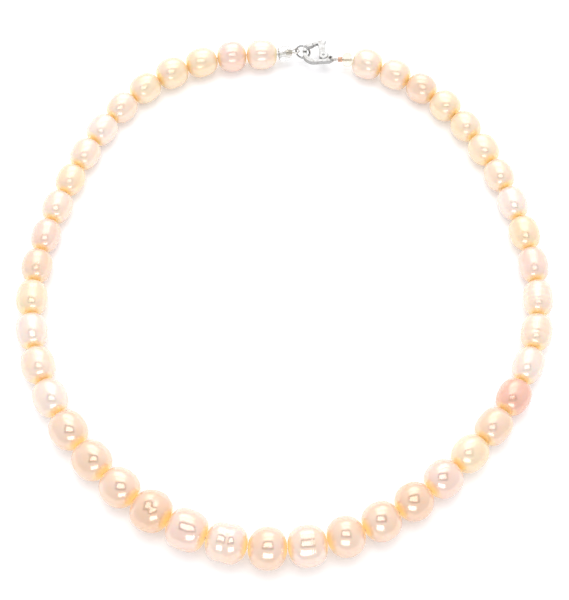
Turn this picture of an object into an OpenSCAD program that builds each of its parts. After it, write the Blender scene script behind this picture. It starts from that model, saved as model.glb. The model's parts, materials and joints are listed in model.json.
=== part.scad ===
// Pearl necklace: baroque pearls strung on beading wire and closed at the back by a lobster
// clasp that hooks a jump ring. Lengths are in millimetres and angles in degrees. The strand
// lies on z = 0 with the clasp at the back (+Y) and the fullest pearls at the front (-Y).
// pearl_01 is on the clasp's left, and the numbers run round the front to its right.

/* [Pearls] */
// Mean length of a pearl along the wire, with its share of the gap
pearl_pitch = 9.85; // [9.6:0.05:10.4]
// How much shorter the pearls by the clasp are, as a share of the mean
pitch_taper = 0.038; // [0:0.002:0.048]
// How much longer the side pearls are, as a share of the mean
pitch_sides = 0.028; // [0:0.002:0.03]
// Mean diameter of a pearl across the wire
pearl_width = 8.8; // [8:0.1:9.4]
// How much fatter the front pearls are than the mean, and the back ones thinner
width_front = 0.8; // [0:0.1:1]
// How much slimmer the side pearls are than the mean, and the other ones fatter
width_sides = 0.8; // [0:0.1:1]
// Space between two neighbouring pearls' ends
pearl_gap = 0.15; // [0.12:0.01:0.3]

/* [Wire] */
// Diameter of the nylon-coated beading wire
wire_d = 0.5; // [0.4:0.02:0.54]
// Space between the wire and the wall of each drilled hole
bore_play = 0.08; // [0.04:0.01:0.1]
// Length of each crimp tube
crimp_length = 1.3; // [1:0.1:1.4]

/* [Clasp] */
// Diameter of the clear bead on the left of the clasp
left_bead_d = 4.6; // [4:0.1:5]
// Diameter of the clear bead on the right of the clasp
right_bead_d = 4.2; // [4:0.1:4.6]
// Outside diameter of the jump ring
ring_od = 4.8; // [4.7:0.05:5]
// Diameter of the jump ring's wire
ring_wire_d = 0.7; // [0.6:0.02:0.74]
// Thickness of the clasp's hook
hook_thick = 1.4; // [1.2:0.1:1.4]
// Radius of the hook's round end
hook_r = 3.5; // [3.4:0.05:3.6]

/* [Hidden] */
pearl_count = 44;
// Closing distance between the two pearls beside the clasp
clasp_gap = 22.8;
// Direction in which the strand leaves the clasp, from +X
start_heading = 172.2;
// The strand's heading turns once round the loop. These waves, one for each whole number of
// turns, flatten and fill the oval so that it lies as a hand would leave it.
heading_sin = [0, 5.1, -0.2, 0.3, -3.3, -0.9];
heading_cos = [-0.4, -1.1, -1.7, -0.6, 1.7, 0.1];
// Pearls are graded by eye, so their lengths also run in small waves, as shares of the mean
pitch_sin = [-0.002, -0.016, 0.026, 0.008];
pitch_cos = [0, 0, 0.004, 0.002];
// Pearls that stand out from their neighbours: number, extra length, extra diameter
odd_pearls = [[2, -0.4, 0.1], [4, 0.2, 0.5], [17, 0.2, 0.3], [20, 0.2, 0.3], [22, 0.5, 0]];

// The wire is one length. It is modelled in stretches that bend where two of them meet, at
// the gaps after these pearls.
wire_breaks = [0, 6, 13, 19, 25, 31, 38, pearl_count];
wire_names = ["wire_back_left", "wire_side_left", "wire_front_left", "wire_front",
              "wire_front_right", "wire_side_right", "wire_back_right"];
wire_r = wire_d / 2;
bore_r = wire_r + bore_play;
// Half the space between two stretches of wire where they meet
wire_end_space = 0.05;
tube_sides = 12;

// The crimps hold two strands of wire side by side
strand_step = wire_d + 0.06;
half_step = strand_step / 2;
crimp_bore_r = half_step + wire_r + 0.02;
crimp_r = crimp_bore_r + 0.22;
// The left crimp is tucked into its clear bead, so that bead's hole is wide
left_bore_r = half_step + crimp_r + 0.08;
left_bead = [0.25, 4.4];
right_bead = [0.25, 3.1];
left_crimp_at = 2.6;
right_crimp_at = 3.2;
// Where each loop starts to open, past its crimp, and each loop's mean radius
left_neck = 4.6;
right_neck = 4.7;
loop_r = 0.85;

// Places in the clasp's plan, from the end of pearl_01, with X to the right
loop_left_at = [5.75, 1.1];
eye_at = [16, -1.85];
// The right loop stands nearly on edge, to pass through the flat eye
right_roll = 70;
ring_lean = 18;
ring_split = 4;

// The clasp's own frame has its origin at the eye, the hook towards -X, the gate at +Y
eye_r = 0.6;
eye_rim_r = 1.15;
eye_thick = 0.7;
hook_wall = 1.3;
lower_centre = [-4.9, 1.9];
upper_r = 2.5;
upper_centre = [lower_centre[0] - hook_r + upper_r, 3.2];
// The middle of the hook's straight bar, where the ring hangs
hook_at = [lower_centre[0] - hook_r + hook_wall / 2, 2.7];
pin_at = [-2.15, 1.04];
pin_r = 0.3;
pin_play = 0.05;
boss_r = 1.35;
boss_thick = 1.9;
slot_r = 1.48;
slot_thick = 0.9;
root_r = 1.08;
root_thick = 0.75;
gate_thick = 1.2;
gate_inner_r = 4.8;
gate_outer_r = 5.8;
nose_angle = 128;
nose_space = 1.2;
tab_top = 6.9;
spring_r = [1.18, 1.38];
spring_thick = 0.5;

function pearl_name(i) = str("pearl_", i < 10 ? "0" : "", i);

// ---- Sizes of the pearls ----

// Sum of the sine and cosine waves that turn once, twice and so on as t goes from 0 to 1
function waves(sines, cosines, t, k = 0) =
    k == len(sines) ? 0
    : sines[k] * sin(360 * (k + 1) * t) + cosines[k] * cos(360 * (k + 1) * t)
      + waves(sines, cosines, t, k + 1);

// A small even scatter from -1 to 1 that differs from pearl to pearl
function scatter(i, phase) = sin(137.5 * i + phase);
function odd(i, column) =
    let (found = [for (o = odd_pearls) if (o[0] == i) o[column]]) len(found) > 0 ? found[0] : 0;
function share(i) = (i - 0.5) / pearl_count;
function pitch(i) =
    pearl_pitch * (1 - pitch_taper * cos(360 * share(i)) - pitch_sides * cos(720 * share(i))
                   + waves(pitch_sin, pitch_cos, share(i)))
    + 0.12 * scatter(i, 40) + odd(i, 1);
function pearl_d(i) =
    pearl_width - width_front * cos(360 * share(i)) + width_sides * cos(720 * share(i))
    + 0.14 * scatter(i, 170) + odd(i, 2);
function pearl_length(i) = pitch(i) - pearl_gap;

// ---- Route of the strand ----

// Distance along the strand to the end of each pearl
reach = [for (i = 0, s = 0; i <= pearl_count; i = i + 1, s = s + pitch(i)) s];
loop_length = reach[pearl_count] + clasp_gap;
function turn_share(i) = (clasp_gap / 2 + (reach[i - 1] + reach[i]) / 2) / loop_length;
headings = [for (i = [1:pearl_count]) let (t = turn_share(i))
    start_heading + 360 * t + waves(heading_sin, heading_cos, t)];
function heading(i) = headings[i - 1];

// The gap after pearl i, on the wire's axis, before the strand is centred
function step_along(i) =
    i > pearl_count ? [0, 0] : pitch(i) * [cos(heading(i)), sin(heading(i))];
loose_gaps = [for (i = 0, p = [0, 0]; i <= pearl_count; i = i + 1, p = p + step_along(i)) p];
function loose_mid(i) = (loose_gaps[i - 1] + loose_gaps[i]) / 2;
// Half the length that pearl i covers along a direction
function half_span(i, direction) =
    norm([pearl_length(i) * cos(heading(i) - direction), pearl_d(i) * sin(heading(i) - direction)]) / 2;
x_low = min([for (i = [1:pearl_count]) loose_mid(i)[0] - half_span(i, 0)]);
x_high = max([for (i = [1:pearl_count]) loose_mid(i)[0] + half_span(i, 0)]);
y_low = min([for (i = [1:pearl_count]) loose_mid(i)[1] - half_span(i, 90)]);
clasp_top = eye_at[1] + tab_top;
y_high = max(clasp_top, max([for (i = [1:pearl_count]) loose_mid(i)[1] + half_span(i, 90)]));
centre = [(x_low + x_high) / 2, (y_low + y_high) / 2];

// Height of the wire at the gap after pearl i: the mean of its neighbours' radii
function loose_height(i) =
    (pearl_d(max(i, 1)) + pearl_d(min(i + 1, pearl_count))) / 4;
sink = min([for (i = [1:pearl_count]) (loose_height(i - 1) + loose_height(i) - pearl_d(i)) / 2]);
function gap_point(i) =
    let (p = loose_gaps[i] - centre) [p[0], p[1], loose_height(i) - sink];

// ---- Placing ----

// Points along a plane arc
function arc(c, r, from, to, steps) =
    [for (k = [0:steps]) let (a = from + (to - from) * k / steps) c + r * [cos(a), sin(a)]];

// Turns +X to lie along the vector v
module along(v) rotate([0, -atan2(v[2], norm([v[0], v[1]])), atan2(v[1], v[0])]) children();

function unit(v) = v / norm(v);
left_end = gap_point(0);
right_end = gap_point(pearl_count);
function clasp_point(p) =
    [left_end[0] + p[0], left_end[1] + p[1], (left_end[2] + right_end[2]) / 2];

// A link runs from an end pearl to its loop. This turns a point in the link's own plane, which
// is rolled about the link, into a place.
function link_side(origin, aim, roll) =
    let (x = unit(aim - origin), y = unit([-x[1], x[0], 0])) cos(roll) * y + sin(roll) * cross(x, y);
function link_point(origin, aim, p, roll) =
    origin + p[0] * unit(aim - origin) + p[1] * link_side(origin, aim, roll);

eye = clasp_point(eye_at);
hook_bar = clasp_point(eye_at + hook_at);
// The left loop holds the ring, and the right loop holds the far wall of the eye
loop_left = clasp_point(loop_left_at);
ring_hold = loop_left + half_step * link_side(left_end, loop_left, 0);
eye_wall = eye + (eye_r + eye_rim_r) / 2 * unit(right_end - eye);
loop_right = eye_wall - half_step * link_side(right_end, eye_wall, right_roll);
ring_way = unit(hook_bar - ring_hold);
ring_mean_r = (ring_od - ring_wire_d) / 2;
ring_centre = ring_hold + ring_mean_r * ring_way;

// Frames with +X along the wire from an end pearl to its loop
module on_left_link() translate(left_end) along(loop_left - left_end) children();
module on_right_link() translate(right_end) along(loop_right - right_end) children();
module on_clasp() translate(eye) children();

// ---- Pearls ----

function pearl_tint(i) =
    let (warm = 0.5 + 0.5 * scatter(i, 250))
    [0.99, 0.84 - 0.08 * warm, 0.74 - 0.1 * warm];

// A bead in its own frame: an ellipsoid with a straight hole along +X
module drilled_bead(length, d, hole_r) rotate([0, 90, 0]) difference() {
    scale([d, d, length]) sphere(d = 1, $fn = 48);
    cylinder(r = hole_r, h = length + 2, center = true, $fn = 24);
}

module pearl(i) color(pearl_tint(i))
    translate((gap_point(i - 1) + gap_point(i)) / 2) along(gap_point(i) - gap_point(i - 1))
        drilled_bead(pearl_length(i), pearl_d(i), bore_r);

// A clear bead with flat ends, between two places on a link
module clear_bead(span, d, hole_r) color([0.93, 0.96, 0.97, 0.5])
    translate([(span[0] + span[1]) / 2, 0, 0]) intersection() {
        drilled_bead(1.25 * (span[1] - span[0]), d, hole_r);
        cube([span[1] - span[0], 2 * d, 2 * d], center = true);
    }

module clear_bead_left() on_left_link() clear_bead(left_bead, left_bead_d, left_bore_r);
module clear_bead_right() on_right_link() clear_bead(right_bead, right_bead_d, bore_r);

// ---- Wire ----

// One ring of a tube along a nearly level route, square to the way through point k
function tube_ring(route, k, r) =
    let (before = unit(route[max(k, 1)] - route[max(k, 1) - 1]),
         after = unit(route[min(k + 1, len(route) - 1)] - route[min(k, len(route) - 2)]),
         way = unit(before + after), stretch = r / (before * way),
         side = unit(cross(tube_up(route), way)), up = cross(way, side))
    [for (q = [0:tube_sides - 1]) let (turn = 360 * q / tube_sides)
        route[k] + stretch * (cos(turn) * side + sin(turn) * up)];

// The normal of the plane that a route turns in
function tube_up(route) = unit(cross(route[1] - route[0], route[len(route) - 2] - route[1]));

module tube(route, r) {
    rings = len(route);
    polyhedron(
        points = [for (k = [0:rings - 1]) each tube_ring(route, k, r)],
        faces = concat(
            [[for (q = [0:tube_sides - 1]) q]],
            [for (k = [0:rings - 2], q = [0:tube_sides - 1])
                let (at = k * tube_sides, next = (q + 1) % tube_sides)
                [at + q, at + tube_sides + q, at + tube_sides + next, at + next]],
            [[for (q = [tube_sides - 1:-1:0]) (rings - 1) * tube_sides + q]]));
}

// The end of the wire from a link: out to the neck, round the loop, and back to the tail
function tail_route(origin, aim, neck, tail_at, roll) =
    let (loop_at = norm(aim - origin),
         slope = atan2(half_step, loop_at - neck) - asin(loop_r / norm([loop_at - neck, half_step])))
    [for (p = concat([[neck, 0]],
                     arc([loop_at, half_step], loop_r, slope - 90, 90 - slope, 20),
                     [[neck, strand_step], [tail_at, strand_step]]))
        link_point(origin, aim, p, roll)];

// The wire through the pearls between two breaks, a little short of each break
function through_route(first_gap, last_gap) =
    let (a = gap_point(first_gap), b = gap_point(last_gap))
    concat([a + wire_end_space * unit(gap_point(first_gap + 1) - a)],
           [for (i = [first_gap + 1:last_gap - 1]) gap_point(i)],
           [b + wire_end_space * unit(gap_point(last_gap - 1) - b)]);

// The first and last stretches go on from the end pearl, without the short end, into a tail
function without_first(list) = [for (k = [1:len(list) - 1]) list[k]];
function back_to_front(list) = [for (k = [len(list) - 1:-1:0]) list[k]];
left_route = concat(back_to_front(without_first(through_route(wire_breaks[0], wire_breaks[1]))),
                    [left_end],
                    tail_route(left_end, loop_left, left_neck, left_crimp_at - 0.6, 0));
right_route = concat(back_to_front(without_first(back_to_front(
                         through_route(wire_breaks[6], wire_breaks[7])))),
                     [right_end],
                     tail_route(right_end, loop_right, right_neck, right_crimp_at - 0.05, right_roll));

module wire(k) color([0.8, 0.78, 0.74])
    tube(k == 0 ? left_route
         : k == len(wire_names) - 1 ? right_route
         : through_route(wire_breaks[k], wire_breaks[k + 1]), wire_r);

// A crimp tube round both strands
module crimp(at, roll) color([0.72, 0.55, 0.42]) rotate([roll, 0, 0])
    translate([at, half_step, 0]) rotate([0, 90, 0]) difference() {
        cylinder(r = crimp_r, h = crimp_length, $fn = 36);
        translate([0, 0, -1]) cylinder(r = crimp_bore_r, h = crimp_length + 2, $fn = 36);
    }

module crimp_left() on_left_link() crimp(left_crimp_at, 0);
module crimp_right() on_right_link() crimp(right_crimp_at, right_roll);

// ---- Jump ring ----

// The ring stands nearly upright and leans back, with its split at the top
module jump_ring() color([0.82, 0.82, 0.84])
    translate(ring_centre) along(ring_way) rotate([90 - ring_lean, 0, 0])
        rotate([0, 0, 90 + ring_split / 2])
            rotate_extrude(angle = 360 - ring_split, $fn = 72)
                translate([ring_mean_r, 0]) circle(d = ring_wire_d, $fn = 24);

// ---- Clasp ----

nose_out = pin_at + (gate_outer_r + 0.1) * [cos(nose_angle), sin(nose_angle)];
nose_in = pin_at + (gate_inner_r - 0.1) * [cos(nose_angle), sin(nose_angle)];

// The hook: from the nose round the end and along the spine to the eye, and back inside
module hook_outline() polygon(concat(
    [nose_out],
    arc(upper_centre, upper_r, 105, 180, 9),
    arc(lower_centre, hook_r, 180, 265, 12),
    [[0, -eye_rim_r], [0.3, 1.05], [-1.7, 2.3], [pin_at[0], lower_centre[1] - hook_r + hook_wall]],
    arc(lower_centre, hook_r - hook_wall, 270, 180, 12),
    arc(upper_centre, upper_r - hook_wall, 180, 115, 8),
    [nose_in]));

module flat_disc(p, r, thick)
    translate([p[0], p[1], 0]) cylinder(r = r, h = thick, center = true, $fn = 48);

module clasp_body() color([0.83, 0.83, 0.85]) on_clasp() difference() {
    union() {
        linear_extrude(hook_thick, center = true) hook_outline();
        flat_disc([0, 0], eye_rim_r, eye_thick);
        flat_disc(pin_at, boss_r, boss_thick);
    }
    flat_disc([0, 0], eye_r, 5);
    flat_disc(pin_at, pin_r, 5);
    flat_disc(pin_at, slot_r, slot_thick);
}

module clasp_lever() color([0.86, 0.86, 0.88]) on_clasp() difference() {
    union() {
        flat_disc(pin_at, root_r, root_thick);
        linear_extrude(root_thick, center = true) gate_outline();
        linear_extrude(gate_thick, center = true) difference() {
            gate_outline();
            translate(pin_at) circle(r = boss_r + 0.15, $fn = 48);
        }
    }
    flat_disc(pin_at, pin_r + pin_play, 5);
}

// The gate: a spoke with a thumb tab, and a band that runs in a circle round the pin
module gate_outline() {
    polygon([[-3.1, 0.9], [-3.75, 5.6], [-3.2, 6.7], [-2.6, tab_top], [-1.6, tab_top],
             [-1.2, 6.45], [-1.75, 5.6], [-1.6, 4.6], [-1.7, 1.9]]);
    polygon(concat(arc(pin_at, gate_inner_r, 100, nose_angle - nose_space, 8),
                   arc(pin_at, gate_outer_r, nose_angle - nose_space, 97, 8)));
}

module lever_pin() color([0.75, 0.75, 0.78]) on_clasp() flat_disc(pin_at, pin_r, boss_thick);

// A leaf spring bent round the root of the lever, inside the slot
module lever_spring() color([0.6, 0.6, 0.62]) on_clasp()
    translate([pin_at[0], pin_at[1], -spring_thick / 2]) rotate([0, 0, 205])
        rotate_extrude(angle = 130, $fn = 48)
            translate([spring_r[0], 0]) square([spring_r[1] - spring_r[0], spring_thick]);

for (i = [1:pearl_count]) pearl(i);
for (k = [0:len(wire_names) - 1]) wire(k);
clear_bead_left();
clear_bead_right();
crimp_left();
crimp_right();
jump_ring();
clasp_body();
clasp_lever();
lever_pin();
lever_spring();
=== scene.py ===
"""A baroque pearl necklace: the looks of its pearls, wire, beads and clasp.

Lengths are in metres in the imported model's frame, with +Z up, the clasp at +Y and the fullest
pearls at -Y. MM turns a size in millimetres into metres.
"""
import json
import math
import random

import bmesh
import bpy
from mathutils import Matrix, Vector, noise

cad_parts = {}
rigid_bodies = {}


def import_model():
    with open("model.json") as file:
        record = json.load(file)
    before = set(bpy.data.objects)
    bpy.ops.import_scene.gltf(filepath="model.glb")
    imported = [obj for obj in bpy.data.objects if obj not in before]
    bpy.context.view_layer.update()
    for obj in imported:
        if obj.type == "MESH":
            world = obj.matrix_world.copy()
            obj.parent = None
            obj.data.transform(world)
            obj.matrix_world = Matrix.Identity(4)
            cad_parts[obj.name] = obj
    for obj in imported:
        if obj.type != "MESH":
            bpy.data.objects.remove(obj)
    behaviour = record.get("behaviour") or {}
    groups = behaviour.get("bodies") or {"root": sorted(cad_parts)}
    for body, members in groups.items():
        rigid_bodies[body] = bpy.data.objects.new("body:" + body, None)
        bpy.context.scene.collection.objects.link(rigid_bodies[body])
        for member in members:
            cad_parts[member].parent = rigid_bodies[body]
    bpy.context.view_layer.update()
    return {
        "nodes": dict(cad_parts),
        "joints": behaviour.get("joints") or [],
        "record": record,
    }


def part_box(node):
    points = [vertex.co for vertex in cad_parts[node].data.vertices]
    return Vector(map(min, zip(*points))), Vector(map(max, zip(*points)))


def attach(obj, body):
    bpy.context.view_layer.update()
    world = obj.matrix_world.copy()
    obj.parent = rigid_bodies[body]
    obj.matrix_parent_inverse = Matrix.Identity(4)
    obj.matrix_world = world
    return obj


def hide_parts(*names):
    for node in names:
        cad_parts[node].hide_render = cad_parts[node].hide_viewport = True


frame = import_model()

MM = 0.001
JOINTS = {joint["name"]: joint for joint in frame["joints"]}
SLOTS = {part["node"]: part["material_slot"] for part in frame["record"]["subparts"]}
BODIES = frame["record"]["behaviour"]["bodies"]
BODY_OF = {node: body for body, nodes in BODIES.items() for node in nodes}
PEARLS = sorted(node for node in SLOTS if node.startswith("pearl_"))
WIRES = [node for node in SLOTS if node.startswith("wire_")]

# ---- Camera: at the front, looking down, as a person leans over a table ----

CAMERA_AIM = Vector((-0.05 * MM, -5.0 * MM, 0))
CAMERA_DISTANCE = 339.6 * MM
CAMERA_ELEVATION = math.radians(62)
CAMERA_WIDTH_ANGLE = math.radians(25.87)


def turned_to(place, target):
    """The rotation of a camera or lamp at place that looks at target."""
    return (target - place).to_track_quat("-Z", "Y").to_euler()


def from_front(target, distance, elevation):
    """The point at a distance and an elevation on the front (-Y) side of target, in radians."""
    return target + distance * Vector((0, -math.cos(elevation), math.sin(elevation)))


def make_camera():
    data = bpy.data.cameras.new("camera")
    data.sensor_fit = "HORIZONTAL"
    data.angle = CAMERA_WIDTH_ANGLE
    camera = bpy.data.objects.new("camera", data)
    camera.location = from_front(CAMERA_AIM, CAMERA_DISTANCE, CAMERA_ELEVATION)
    camera.rotation_euler = turned_to(camera.location, CAMERA_AIM)
    bpy.context.scene.collection.objects.link(camera)
    bpy.context.scene.camera = camera


make_camera()

# ---- Materials ----


class Shader:
    """A node material: a Principled shader, and short ways to add the nodes that feed it."""

    def __init__(self, name, **constants):
        self.material = bpy.data.materials.new(name)
        self.material.use_nodes = True
        self.tree = self.material.node_tree
        self.shader = self.tree.nodes["Principled BSDF"]
        for socket, value in constants.items():
            self.shader.inputs[socket.replace("_", " ")].default_value = value
        self.place = self.tree.nodes.new("ShaderNodeTexCoord").outputs["Object"]

    def node(self, kind, inputs=(), output=0, **settings):
        """Adds a node, links or sets its inputs, and gives one of its outputs."""
        node = self.tree.nodes.new(kind)
        for setting, value in settings.items():
            setattr(node, setting, value)
        for socket, value in dict(inputs).items():
            self.feed(node.inputs[socket], value)
        return node.outputs[output]

    def feed(self, socket, value):
        if isinstance(value, bpy.types.NodeSocket):
            self.tree.links.new(value, socket)
        else:
            socket.default_value = value

    def noise(self, per_mm, seed=0.0, detail=2.0):
        """Noise from 0 to 1, with so many lumps to the millimetre."""
        inputs = {"Vector": self.place, "W": seed, "Scale": per_mm / MM, "Detail": detail}
        return self.node("ShaderNodeTexNoise", inputs, noise_dimensions="4D")

    def spread(self, value, low, high, to_low=0.0, to_high=1.0):
        """Spreads the values between low and high over another range, and holds them there."""
        inputs = {"Value": value, "From Min": low, "From Max": high,
                  "To Min": to_low, "To Max": to_high}
        return self.node("ShaderNodeMapRange", inputs)

    def mix(self, factor, colour_a, colour_b):
        inputs = {0: factor, 6: colour_a, 7: colour_b}
        return self.node("ShaderNodeMix", inputs, output=2, data_type="RGBA")

    def math(self, operation, a, b=0.0):
        return self.node("ShaderNodeMath", {0: a, 1: b}, operation=operation)

    def bump(self, height, depth_mm, under=None):
        inputs = {"Height": height, "Distance": depth_mm * MM, "Strength": 1.0}
        if under is not None:
            inputs["Normal"] = under
        return self.node("ShaderNodeBump", inputs)

    def colour(self, value):
        self.feed(self.shader.inputs["Base Color"], value)

    def roughness(self, value):
        self.feed(self.shader.inputs["Roughness"], value)

    def normal(self, value):
        self.feed(self.shader.inputs["Normal"], value)


def rgb(red, green, blue):
    return (red, green, blue, 1.0)


# Body colours of the nacre
TINTS = {
    "shell": rgb(0.876, 0.722, 0.602),
    "cream": rgb(0.876, 0.722, 0.530),
    "peach": rgb(0.838, 0.640, 0.505),
    "apricot": rgb(0.828, 0.592, 0.440),
    "pink": rgb(0.858, 0.658, 0.568),
    "white": rgb(0.868, 0.740, 0.658),
    "blush": rgb(0.866, 0.704, 0.610),
    "rose": rgb(0.820, 0.505, 0.408),
}
# Painted glow: the orange of light passing between touching pearls, painted onto their drilled ends
# and also given off there as emission
PAINTED_END_GLOW = rgb(0.96, 0.73, 0.35)
OVERTONE = rgb(0.86, 0.64, 0.60)
DEEPER = (1.0, 0.84, 0.62)  # factors on red, green and blue where the nacre is cloudy
CLOUD_SHARE = 0.4
END_SHARE = 0.9
# Where the painted glow at the drilled ends begins and is full, as shares of the length from the
# middle
END_FROM, END_FULL = 0.38, 0.50
# In the photo the front pearls have the sharpest lustre, and glow most at their drilled ends;
# here that glow is painted. Each pair is the extra roughness and the strength of the painted end
# glow.
BRIGHT_PEARLS = range(17, 29)
BRIGHT_LUSTRE_AND_GLOW = (0.0, 0.24)
SOFT_LUSTRE_AND_GLOW = (0.07, 0.10)
TINT_OF = {
    "cream": (3, 4, 5, 9, 13, 29, 36, 39, 40, 41),
    "peach": (12, 17, 18, 19, 23, 25, 26, 30, 42),
    "apricot": (20, 27),
    "pink": (2, 11, 21, 28, 35),
    "blush": (22, 24),
    "white": (7, 14, 16, 32, 37),
    "rose": (31,),
}


def tint_of(number):
    found = [tint for tint, numbers in TINT_OF.items() if number in numbers]
    return found[0] if found else "shell"


def nacre(name, tint, length, seed, haze, end_glow):
    """Pearl nacre: a cloudy body colour that deepens into a painted glow at the drilled ends, under
    a clear lustre.
    """
    pale = TINTS[tint]
    deep = rgb(*(factor * tone for factor, tone in zip(DEEPER, pale)))
    look = Shader(
        name, Metallic=0.35, IOR=1.8, Specular_Tint=rgb(1.0, 0.87, 0.78),
        Coat_Weight=0.4, Coat_Roughness=0.05 + haze, Coat_IOR=1.6,
        Sheen_Weight=0.03, Sheen_Roughness=0.35,
        Subsurface_Weight=0.5, Subsurface_Radius=(1.0, 0.6, 0.3), Subsurface_Scale=1.6 * MM)
    clouds = look.spread(look.noise(0.16, seed, 3.0), 0.42, 0.70)
    along = look.node("ShaderNodeSeparateXYZ", {0: look.place})
    at_end = look.spread(look.math("ABSOLUTE", along), END_FROM * length, END_FULL * length)
    body = look.mix(look.math("MULTIPLY", clouds, CLOUD_SHARE), pale, deep)
    # Painted glow: towards the drilled ends the body colour turns to the glow colour
    body = look.mix(look.math("MULTIPLY", at_end, END_SHARE), body, PAINTED_END_GLOW)
    # Painted glow: the drilled ends also give off light of that colour, though no lamp is there
    look.shader.inputs["Emission Color"].default_value = PAINTED_END_GLOW
    glow = look.math("MULTIPLY", look.math("MULTIPLY", at_end, at_end), end_glow)
    look.feed(look.shader.inputs["Emission Strength"], glow)
    overtone = look.spread(look.noise(0.22, seed + 7.0, 1.0), 0.50, 0.72, 0.0, 0.35)
    look.colour(look.mix(overtone, body, OVERTONE))
    look.roughness(look.spread(look.noise(0.5, seed + 3.0), 0.3, 0.7, 0.11 + haze, 0.18 + haze))
    ripple = look.bump(look.noise(0.35, seed + 11.0, 1.0), 0.05)
    look.normal(look.bump(look.noise(3.0, seed + 13.0, 2.0), 0.0015, under=ripple))
    return look.material


def beading_wire_look():
    look = Shader("nylon_coated_wire", Metallic=0.8,
                  Coat_Weight=1.0, Coat_Roughness=0.12, Coat_IOR=1.5)
    worn = look.noise(4.0, 1.0)
    look.colour(look.mix(worn, rgb(0.52, 0.48, 0.44), rgb(0.78, 0.76, 0.73)))
    look.roughness(look.spread(worn, 0.3, 0.7, 0.22, 0.38))
    look.normal(look.bump(look.noise(9.0, 2.0), 0.01))
    return look.material


def silver_look():
    look = Shader("silver_plate", Metallic=1.0)
    tarnish = look.spread(look.noise(1.1, 5.0, 4.0), 0.45, 0.75)
    look.colour(look.mix(tarnish, rgb(0.42, 0.42, 0.415), rgb(0.28, 0.265, 0.25)))
    look.roughness(look.spread(look.noise(2.5, 9.0), 0.3, 0.7, 0.10, 0.20))
    cast = look.bump(look.noise(1.4, 3.0, 1.0), 0.03)
    look.normal(look.bump(look.noise(14.0, 4.0), 0.002, under=cast))
    return look.material


def copper_look(name, bright, dull):
    look = Shader(name, Metallic=1.0)
    worn = look.spread(look.noise(1.6, 21.0, 3.0), 0.40, 0.65)
    look.colour(look.mix(worn, bright, dull))
    look.roughness(look.spread(worn, 0.0, 1.0, 0.22, 0.42))
    look.normal(look.bump(look.noise(3.5, 23.0), 0.02))
    return look.material


def steel_look():
    look = Shader("spring_steel", Metallic=1.0)
    drawn = look.noise(6.0, 31.0, 3.0)
    look.colour(look.mix(drawn, rgb(0.42, 0.42, 0.44), rgb(0.60, 0.60, 0.62)))
    look.roughness(look.spread(drawn, 0.3, 0.7, 0.25, 0.40))
    return look.material


def glass_look(name, clear, tinted):
    """Clear pressed glass, a little uneven."""
    look = Shader(name, Transmission_Weight=1.0, IOR=1.5, Coat_Weight=0.3, Coat_Roughness=0.03)
    uneven = look.noise(0.6, 41.0, 1.0)
    look.colour(look.mix(uneven, clear, tinted))
    look.roughness(look.spread(uneven, 0.3, 0.7, 0.02, 0.06))
    look.normal(look.bump(uneven, 0.03))
    return look.material


WIRE_LOOK = beading_wire_look()
SILVER = silver_look()
COPPER = copper_look("worn_copper_plate", rgb(0.66, 0.40, 0.27), rgb(0.38, 0.24, 0.18))
# A greyer, paler copy of the copper plate, used for the left crimp
GREYER_COPPER = copper_look("greyer_copper_plate", rgb(0.62, 0.57, 0.48),
                          rgb(0.44, 0.40, 0.34))
STEEL = steel_look()
GLASS = glass_look("clear_glass", rgb(0.93, 0.93, 0.91), rgb(0.86, 0.87, 0.86))
WARM_GLASS = glass_look("warm_clear_glass", rgb(0.92, 0.88, 0.79), rgb(0.83, 0.77, 0.64))

# ---- Mesh making ----


def axes_along(way, up=Vector((0, 0, 1)), roll=0.0):
    """Rotation matrix with +X along way and +Z as near up as it can be, then rolled about +X."""
    x = way.normalized()
    y = up.cross(x).normalized()
    return Matrix((x, y, x.cross(y))).transposed() @ Matrix.Rotation(roll, 3, "X")


def placed(origin, axes):
    return Matrix.Translation(origin) @ axes.to_4x4()


def new_piece(name, bm, place, material, node):
    """Makes a mesh object that stands for a CAD node and rides on its body."""
    bmesh.ops.recalc_face_normals(bm, faces=bm.faces)
    mesh = bpy.data.meshes.new(name)
    bm.to_mesh(mesh)
    bm.free()
    mesh.materials.append(material)
    for face in mesh.polygons:
        face.use_smooth = True
    piece = bpy.data.objects.new(name, mesh)
    piece.matrix_world = place
    bpy.context.scene.collection.objects.link(piece)
    return adopt(piece, node)


def adopt(piece, node):
    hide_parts(node)
    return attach(piece, BODY_OF[node])


def join_rings(bm, rings, closed_way=False):
    """Faces between one ring of vertices and the next, and from the last to the first if closed."""
    pairs = list(zip(rings, rings[1:])) + ([(rings[-1], rings[0])] if closed_way else [])
    for a, b in pairs:
        for k in range(len(a)):
            n = (k + 1) % len(a)
            bm.faces.new((a[k], a[n], b[n], b[k]))


def ring_of(bm, x, radius_at, sides):
    """A ring of vertices about +X whose radius may change with the angle."""
    ring = []
    for k in range(sides):
        angle = 2 * math.pi * k / sides
        radius = radius_at(angle)
        ring.append(bm.verts.new((x, radius * math.cos(angle), radius * math.sin(angle))))
    return ring


def turned(profile, sides=48):
    """A closed profile of (x, radius) points turned about +X."""
    bm = bmesh.new()
    rings = [ring_of(bm, x, lambda angle, r=r: r, sides) for x, r in profile]
    join_rings(bm, rings, closed_way=True)
    return bm


STRAND_RIDGE = 0.05  # height of a strand's ridge, as a share of the wire's radius


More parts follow.
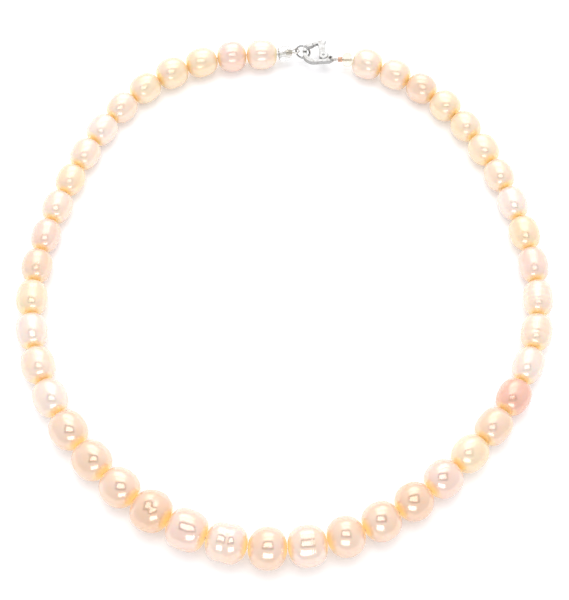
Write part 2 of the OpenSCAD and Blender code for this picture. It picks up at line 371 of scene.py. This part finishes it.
def swept(route, radius, sides=16, strands=0, twist=0.0):
    """A closed tube along a route of points. Strands show as ridges that wind round the tube."""
    bm = bmesh.new()
    rings = []
    gone = 0.0
    side = (route[1] - route[0]).orthogonal().normalized()
    for k, point in enumerate(route):
        way = (route[min(k + 1, len(route) - 1)] - route[max(k - 1, 0)]).normalized()
        side = (side - side.dot(way) * way).normalized()
        up = way.cross(side)
        if k > 0:
            gone += (point - route[k - 1]).length
        ring = []
        for q in range(sides):
            angle = 2 * math.pi * q / sides
            ridge = 0.0
            if strands:
                ridge = STRAND_RIDGE * math.cos(strands * (angle - twist * gone)) - STRAND_RIDGE
            out = math.cos(angle) * side + math.sin(angle) * up
            ring.append(bm.verts.new(point + radius * (1 + ridge) * out))
        rings.append(ring)
    join_rings(bm, rings)
    bm.faces.new(reversed(rings[0]))
    bm.faces.new(rings[-1])
    return bm


def evenly(route, step):
    """The same route with points at most a step apart."""
    points = [route[0]]
    for a, b in zip(route, route[1:]):
        count = max(1, math.ceil((b - a).length / step))
        points += [a.lerp(b, k / count) for k in range(1, count + 1)]
    return points


def spindle(node):
    """Middle, axis, length, width and hole radius of a drilled CAD node, about its spin joint."""
    joint = JOINTS[node + "_spin"]
    origin, axis = Vector(joint["pos_m"]), Vector(joint["axis"]).normalized()
    spans = [vertex.co - origin for vertex in frame["nodes"][node].data.vertices]
    along = [span.dot(axis) for span in spans]
    out = [(span - span.dot(axis) * axis).length for span in spans]
    middle = origin + axis * (max(along) + min(along)) / 2
    return middle, axis, max(along) - min(along), 2 * max(out), min(out)


# ---- Pearls ----

# Grooves round a pearl: place along it from -1 to 1, depth as a share of its radius, and width as
# a share of half its length. pearl_24 has many fine ones.
GROOVES = {
    13: ((-0.62, 0.022, 0.07), (-0.40, 0.030, 0.07), (-0.18, 0.018, 0.06)),
    14: ((0.52, 0.020, 0.10),),
    22: ((-0.07, 0.070, 0.24),),
    24: tuple((0.10 * k - 0.25, 0.008, 0.028) for k in range(6)),
    33: ((-0.30, 0.026, 0.08), (0.10, 0.022, 0.07), (0.42, 0.016, 0.07)),
    34: ((-0.36, 0.020, 0.07), (-0.08, 0.034, 0.09), (0.24, 0.030, 0.09), (0.55, 0.016, 0.07)),
}
# Lumpiness as a share of the radius, where a pearl isn't as smooth as its neighbours
LUMPS = {20: 0.050, 31: 0.030, 42: 0.028, 5: 0.026}
USUAL_LUMPS = 0.012
# Large and small lumps: how many there are to the pearl's radius, and the height of the small ones
LARGE_LUMPS, SMALL_LUMPS, SMALL_LUMP_SHARE = 1.3, 3.1, 0.45
# How square the profile is: 2 is an ellipse. The pearls at the sides have flatter ends.
SQUARENESS = {20: 2.3, 21: 2.7, 22: 2.4, 23: 2.2, 24: 2.4, 25: 2.15, 26: 2.25, 31: 2.2}
SIDE_PEARLS = (*range(7, 16), *range(30, 39))
SIDE_SQUARENESS = 0.15
PEARL_SIDES = 60
PEARL_ROWS = 52
FINE_ROWS = {24: 130}
# The dimple at each drilled hole: how much wider than the hole, and how deep
DIMPLE_WIDE, DIMPLE_DEEP = 0.05 * MM, 0.12 * MM


def pearl_mesh(number, length, width, hole, chance):
    bm = bmesh.new()
    power = SQUARENESS.get(number, chance.uniform(2.2, 2.45))
    if number in SIDE_PEARLS:
        power += SIDE_SQUARENESS
    lumps = LUMPS.get(number, USUAL_LUMPS * chance.uniform(0.7, 1.4))
    grooves = GROOVES.get(number, ())
    egg = chance.uniform(-0.035, 0.035)
    oval, oval_turn = chance.uniform(0.004, 0.018), chance.uniform(0, 2 * math.pi)
    origin = Vector((chance.uniform(-50, 50), chance.uniform(-50, 50), chance.uniform(-50, 50)))
    half, rim = length / 2, hole + DIMPLE_WIDE

    def swell(share, angle):
        """Factor on the radius at a share along the pearl and an angle round it."""
        away = math.sqrt(max(0.0, 1 - share * share))
        spot = Vector((share, away * math.cos(angle), away * math.sin(angle)))
        large = noise.noise(LARGE_LUMPS * spot + origin)
        small = noise.noise(SMALL_LUMPS * spot + 2 * origin)
        lump = large + SMALL_LUMP_SHARE * small
        cut = sum(depth * math.exp(-((share - at) / wide) ** 2) for at, depth, wide in grooves)
        return 1 + egg * share * away + oval * math.cos(2 * angle + oval_turn) + lumps * lump - cut

    start = math.asin((2 * rim / width) ** (power / 2))
    rings = []
    rows = FINE_ROWS.get(number, PEARL_ROWS)
    for row in range(rows + 1):
        angle = start + (math.pi - 2 * start) * row / rows
        share = -math.copysign(abs(math.cos(angle)) ** (2 / power), math.cos(angle))
        radius = width / 2 * math.sin(angle) ** (2 / power)
        rings.append(ring_of(bm, half * share, lambda a, s=share, r=radius: r * swell(s, a),
                             PEARL_SIDES))
    inset = half - DIMPLE_DEEP
    for x in (inset, 0.5 * inset, 0, -0.5 * inset, -inset):
        rings.append(ring_of(bm, x, lambda a: hole, PEARL_SIDES))
    join_rings(bm, rings, closed_way=True)
    return bm


def make_pearls():
    for node in PEARLS:
        number = int(node.split("_")[1])
        chance = random.Random(1000 + number)
        middle, axis, length, width, hole = spindle(node)
        bm = pearl_mesh(number, length, width, hole, chance)
        tint = tint_of(number)
        # Extra roughness, and the strength of the painted glow at the drilled ends
        lustre_and_glow = BRIGHT_LUSTRE_AND_GLOW if number in BRIGHT_PEARLS else SOFT_LUSTRE_AND_GLOW
        material = nacre(f"nacre_{number:02d}_{tint}", tint, length, 3.0 * number, *lustre_and_glow)
        new_piece(f"nacre_{node}", bm, placed(middle, axes_along(axis)), material, node)


make_pearls()

# ---- Wire ----

WIRE_R = 0.25 * MM
STRAND_STEP = 0.56 * MM
LOOP_R = 0.85 * MM
WIRE_END_SPACE = 0.05 * MM
LOOP_STEPS = 40
TAIL_STEP = 0.15 * MM
TAIL_STRANDS = 6
TAIL_SIDES = 42
STRAND_TWIST = 0.9 / MM


def pearl_ends(node):
    middle, axis, length, _, _ = spindle(node)
    return middle - axis * length / 2, middle + axis * length / 2


def pearls_on(wire):
    return [node for node in PEARLS if JOINTS[node + "_spin"]["parent"] == wire]


def through_route(wire):
    """From gap to gap through the wire's pearls. Each gap is midway between two pearls."""
    first, last = (PEARLS.index(node) for node in (pearls_on(wire)[0], pearls_on(wire)[-1]))
    points = []
    for gap in range(first, last + 2):
        near = [pearl_ends(PEARLS[gap - 1])[1]] if gap > 0 else []
        near += [pearl_ends(PEARLS[gap])[0]] if gap < len(PEARLS) else []
        points.append(sum(near, Vector()) / len(near))
    points[0] += (points[1] - points[0]).normalized() * WIRE_END_SPACE
    points[-1] += (points[-2] - points[-1]).normalized() * WIRE_END_SPACE
    return points


def tail_route(wire, bead, neck, tail_at, roll):
    """From the end pearl out to the neck, round the loop and back to the tail, beside itself."""
    joint = JOINTS[bead + "_spin"]
    origin, axis = Vector(joint["pos_m"]), Vector(joint["axis"]).normalized()
    place = placed(origin, axes_along(axis, roll=roll))
    farthest = max((vertex.co - origin).dot(axis) for vertex in frame["nodes"][wire].data.vertices)
    reach = farthest - LOOP_R - WIRE_R
    half_step = STRAND_STEP / 2
    lean = math.asin(LOOP_R / math.hypot(reach - neck, half_step))
    slope = math.atan2(half_step, reach - neck) - lean
    flat = [(0, 0), (neck, 0)]
    for k in range(LOOP_STEPS + 1):
        angle = slope - math.pi / 2 + (math.pi - 2 * slope) * k / LOOP_STEPS
        flat.append((reach + LOOP_R * math.cos(angle), half_step + LOOP_R * math.sin(angle)))
    flat += [(neck, STRAND_STEP), (tail_at, STRAND_STEP)]
    return [place @ Vector((x, y, 0)) for x, y in flat]


# The bead a tail runs through, where its neck and its cut end are, and its roll
TAILS = {
    "wire_back_left": ("clear_bead_left", 4.6 * MM, 2.0 * MM, 0.0),
    "wire_back_right": ("clear_bead_right", 4.7 * MM, 3.15 * MM, math.radians(70)),
}


def make_wires():
    for wire in WIRES:
        route = through_route(wire)
        strands, sides = 0, 16
        if wire in TAILS:
            if wire == "wire_back_left":
                route.reverse()
            route = evenly(route[:-1] + tail_route(wire, *TAILS[wire]), TAIL_STEP)
            strands, sides = TAIL_STRANDS, TAIL_SIDES
        bm = swept(route, WIRE_R, sides, strands, twist=STRAND_TWIST)
        new_piece(f"strand_{wire}", bm, Matrix.Identity(4), WIRE_LOOK, wire)


make_wires()

# ---- Clear beads and crimps ----

BEAD_BEVEL = 0.1 * MM
BEAD_FLAT = 0.60  # width of a bead's flat ends, as a share of its width
CRIMP_PINCH = 0.05


def make_clear_bead(node, material):
    """A pressed glass bead: fat in the middle, flat at its drilled ends, with soft edges."""
    middle, axis, length, width, hole = spindle(node)
    half, steps = length / 2, 24
    flat_r = BEAD_FLAT * width / 2
    profile = [(-half, hole + BEAD_BEVEL)]
    for k in range(steps + 1):
        share = -1 + 2 * k / steps
        radius = flat_r + (width / 2 - flat_r) * math.sqrt(max(0.0, 1 - abs(share) ** 2.2))
        profile.append((half * share * (0.985 + 0.015 * (1 - abs(share))), radius))
    profile += [(half, hole + BEAD_BEVEL), (half - BEAD_BEVEL, hole)]
    profile += [(0, hole), (BEAD_BEVEL - half, hole)]
    new_piece(f"glass_{node}", turned(profile), placed(middle, axes_along(axis)), material, node)


make_clear_bead("clear_bead_left", GLASS)
make_clear_bead("clear_bead_right", WARM_GLASS)


def node_middle(node):
    low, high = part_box(node)
    return (low + high) / 2


def quarter_turns(steps):
    return [math.pi / 2 * k / steps for k in range(steps + 1)]


def make_crimp(node, bead, material):
    """A crimp tube with rolled lips, pinched on its middle to hold the two strands of wire."""
    axis = Vector(JOINTS[bead + "_spin"]["axis"]).normalized()
    middle = node_middle(node)
    spans = [vertex.co - middle for vertex in frame["nodes"][node].data.vertices]
    half = max(span.dot(axis) for span in spans)
    outs = [(span - span.dot(axis) * axis).length for span in spans]
    outer, inner = max(outs), min(outs)
    lip = (outer - inner) / 2
    profile = [(-half + lip - lip * math.cos(t), outer - lip + lip * math.sin(t))
               for t in quarter_turns(6)]
    profile += [(half * share, outer) for share in (-0.35, -0.15, 0.0, 0.15, 0.35)]
    profile += [(half - lip + lip * math.sin(t), outer - lip + lip * math.cos(t))
                for t in quarter_turns(6)]
    profile += [(half - lip, inner), (0, inner), (lip - half, inner)]
    bm = turned(profile)
    for vertex in bm.verts:
        pinch = CRIMP_PINCH * math.exp(-(vertex.co.x / (0.3 * half)) ** 2)
        if math.hypot(vertex.co.y, vertex.co.z) > (outer + inner) / 2:
            vertex.co.z *= 1 - pinch
    new_piece(f"pressed_{node}", bm, placed(middle, axes_along(axis)), material, node)


make_crimp("crimp_left", "clear_bead_left", GREYER_COPPER)
make_crimp("crimp_right", "clear_bead_right", COPPER)

# ---- Jump ring ----

# The wire is thinner than the CAD ring's 0.35 mm radius, and its outer edge is in the same place.
# It clears the hook at the joints' combined limits.
RING_WIRE_R = 0.31 * MM
RING_MEAN_R = 2.09 * MM
RING_LEAN = math.radians(18)
RING_SPLIT = math.radians(4)
RING_STEPS = 96
RING_SIDES = 28


def make_jump_ring():
    joint = JOINTS["ring_roll"]
    axes = axes_along(Vector(joint["axis"])) @ Matrix.Rotation(math.pi / 2 - RING_LEAN, 3, "X")
    place = placed(Vector(joint["pos_m"]), axes)
    first, turn = math.pi / 2 + RING_SPLIT / 2, 2 * math.pi - RING_SPLIT
    angles = [first + turn * k / RING_STEPS for k in range(RING_STEPS + 1)]
    route = [place @ (RING_MEAN_R * Vector((math.cos(a), math.sin(a), 0))) for a in angles]
    bm = swept(route, RING_WIRE_R, RING_SIDES)
    new_piece("soft_jump_ring", bm, Matrix.Identity(4), SILVER, "jump_ring")


make_jump_ring()

# ---- Clasp ----


def make_cast(node, name, voxel, rounds):
    """A smooth cast copy of a clasp part: remeshed finely, with its edges worn round."""
    mesh = frame["nodes"][node].data.copy()
    mesh.name = name
    mesh.materials.clear()
    mesh.materials.append(SILVER)
    piece = bpy.data.objects.new(name, mesh)
    bpy.context.scene.collection.objects.link(piece)
    weld = piece.modifiers.new("weld", "WELD")
    weld.merge_threshold = 0.001 * MM
    remesh = piece.modifiers.new("remesh", "REMESH")
    remesh.mode = "VOXEL"
    remesh.voxel_size = voxel
    remesh.use_smooth_shade = True
    smooth = piece.modifiers.new("smooth", "SMOOTH")
    smooth.factor = 0.5
    smooth.iterations = rounds
    graph = bpy.context.evaluated_depsgraph_get()
    cast = bpy.data.meshes.new_from_object(piece.evaluated_get(graph))
    piece.modifiers.clear()
    piece.data = cast
    if not cast.materials:
        cast.materials.append(SILVER)
    for face in cast.polygons:
        face.use_smooth = True
    return adopt(piece, node)


make_cast("clasp_body", "cast_clasp_body", 0.06 * MM, 14)
make_cast("clasp_lever", "cast_clasp_lever", 0.05 * MM, 8)


def make_pin():
    """The lever's pin: a rivet with slightly domed ends."""
    low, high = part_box("lever_pin")
    radius, half = (high.x - low.x) / 2, (high.z - low.z) / 2
    dome, tip = 0.06 * MM, 0.02 * MM
    end = [(half - dome, 0.96 * radius), (half + 0.7 * dome, 0.6 * radius), (half + dome, tip)]
    profile = [(-x, r) for x, r in reversed(end)]
    profile += [(-0.8 * half, radius), (0.8 * half, radius)] + end
    axes = axes_along(Vector((0, 0, 1)), up=Vector((0, 1, 0)))
    place = placed((low + high) / 2, axes)
    new_piece("rivet_lever_pin", turned(profile, 32), place, SILVER, "lever_pin")


make_pin()
spring = frame["nodes"]["lever_spring"]
spring.data.materials.clear()
spring.data.materials.append(STEEL)

# ---- Studio ----

AIM = Vector((0, 0, 5 * MM))
FRONT_GLOW = 0.90
BACK_GLOW = 1.08
TABLE_REACH = 2.0


def stage_mesh(name, corners, faces, material):
    """Flat sheets that are part of the studio and not of the object."""
    mesh = bpy.data.meshes.new(name)
    mesh.from_pydata(corners, [], faces)
    mesh.materials.append(material)
    sheet = bpy.data.objects.new(name, mesh)
    bpy.context.scene.collection.objects.link(sheet)
    return sheet


def make_table():
    look = Shader("white_paper", Roughness=0.9, Specular_IOR_Level=0.2, Emission_Strength=0.14)
    look.shader.inputs["Emission Color"].default_value = rgb(1.0, 0.99, 0.985)
    grain = look.noise(0.02, 50.0)
    look.colour(look.mix(grain, rgb(0.95, 0.95, 0.955), rgb(0.94, 0.94, 0.945)))
    square = ((-1, -1), (1, -1), (1, 1), (-1, 1))
    corners = [(x * TABLE_REACH, y * TABLE_REACH, 0) for x, y in square]
    stage_mesh("white_table", corners, [(0, 1, 2, 3)], look.material)


def reflector(name, place, target, half_width, half_height, glow, rim=0.0, taper=1.0,
              edge_glow=None):
    """A card that is seen in reflections and lights nothing.

    With a rim only its rim is there. Its lower edge is as wide as its upper one times taper. With
    an edge_glow its glow fades to that towards its edges.
    """
    look = Shader(name, Emission_Strength=glow, Roughness=1.0, Specular_IOR_Level=0.0)
    look.shader.inputs["Emission Color"].default_value = rgb(1.0, 1.0, 1.0)
    look.colour(look.mix(look.noise(0.02, 60.0), rgb(0.02, 0.02, 0.02), rgb(0.03, 0.03, 0.03)))
    if edge_glow is not None:
        fades = []
        for k, half in enumerate((half_width, half_height)):
            way = look.node("ShaderNodeSeparateXYZ", {0: look.place}, output=k)
            span = {"Value": look.math("ABSOLUTE", way), "From Min": half, "From Max": 0.2 * half}
            fades.append(look.node("ShaderNodeMapRange", span, interpolation_type="SMOOTHSTEP"))
        fade = look.math("MULTIPLY", *fades)
        strength = look.spread(fade, 0.0, 1.0, edge_glow, glow)
        look.feed(look.shader.inputs["Emission Strength"], strength)
    inner_w, inner_h = half_width - rim, half_height - rim
    square = ((-taper, -1), (taper, -1), (1, 1), (-1, 1))
    corners = [(x * half_width, y * half_height, 0) for x, y in square]
    faces = [(0, 1, 2, 3)]
    if rim:
        corners += [(x * inner_w, y * inner_h, 0) for x, y in square]
        faces = [(k, (k + 1) % 4, 4 + (k + 1) % 4, 4 + k) for k in range(4)]
    card = stage_mesh(name, corners, faces, look.material)
    card.location = place
    card.rotation_euler = turned_to(place, target)
    card.visible_camera = card.visible_diffuse = card.visible_shadow = False
    card.visible_transmission = False


def soft_box(name, place, width, height, watts):
    light = bpy.data.lights.new(name, "AREA")
    light.shape = "RECTANGLE"
    light.size, light.size_y = width, height
    light.energy = watts
    lamp = bpy.data.objects.new(name, light)
    lamp.location = place
    lamp.rotation_euler = turned_to(lamp.location, AIM)
    lamp.visible_glossy = False
    bpy.context.scene.collection.objects.link(lamp)


def make_room():
    """A white room, brighter at the back (+Y) than in front. The camera itself sees plain white."""
    world = bpy.data.worlds.new("white_room")
    bpy.context.scene.world = world
    world.use_nodes = True
    nodes, links = world.node_tree.nodes, world.node_tree.links
    way = nodes.new("ShaderNodeSeparateXYZ")
    links.new(nodes.new("ShaderNodeTexCoord").outputs["Generated"], way.inputs[0])
    glow = nodes.new("ShaderNodeMapRange")
    glow.interpolation_type = "SMOOTHSTEP"
    spans = {"From Min": -0.5, "From Max": 0.6, "To Min": FRONT_GLOW, "To Max": BACK_GLOW}
    for socket, value in spans.items():
        glow.inputs[socket].default_value = value
    links.new(way.outputs["Y"], glow.inputs["Value"])
    lit, plain = nodes["Background"], nodes.new("ShaderNodeBackground")
    lit.inputs["Color"].default_value = (0.98, 0.98, 1.0, 1.0)
    links.new(glow.outputs[0], lit.inputs["Strength"])
    plain.inputs["Color"].default_value = (1.0, 1.0, 1.0, 1.0)
    choose = nodes.new("ShaderNodeMixShader")
    links.new(nodes.new("ShaderNodeLightPath").outputs["Is Camera Ray"], choose.inputs[0])
    links.new(lit.outputs[0], choose.inputs[1])
    links.new(plain.outputs[0], choose.inputs[2])
    links.new(choose.outputs[0], nodes["World Output"].inputs["Surface"])


def make_studio():
    make_table()
    make_room()
    soft_box("soft_box", from_front(AIM, 0.8, math.radians(105)), width=0.6, height=0.6, watts=2.5)
    front_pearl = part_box("pearl_21")[0]
    under = Vector((0, front_pearl.y, 0))
    over = under + Vector((0, 0.005, 0.34))
    # Cards: place, target, half the width, half the height, glow
    reflector("lamp_rim", over, under, 0.215, 0.145, 0.0, rim=0.072, taper=0.65)
    reflector("lamp_panel", over, under, 0.143, 0.073, 2.0, taper=0.65)
    reflector("front_card", Vector((0, -0.19, 0.093)), under, 0.062, 0.034, 3.4)
    reflector("back_wall", Vector((0, 0.62, 0.50)), under, 0.50, 0.42, 2.4, edge_glow=BACK_GLOW)
    high, below = Vector((0, 0.145, 0.30)), Vector((0, 0.14, 0))
    reflector("high_card", high, below, 0.20, 0.10, 2.2, edge_glow=BACK_GLOW)
    bpy.context.scene.view_settings.view_transform = "Standard"


make_studio()
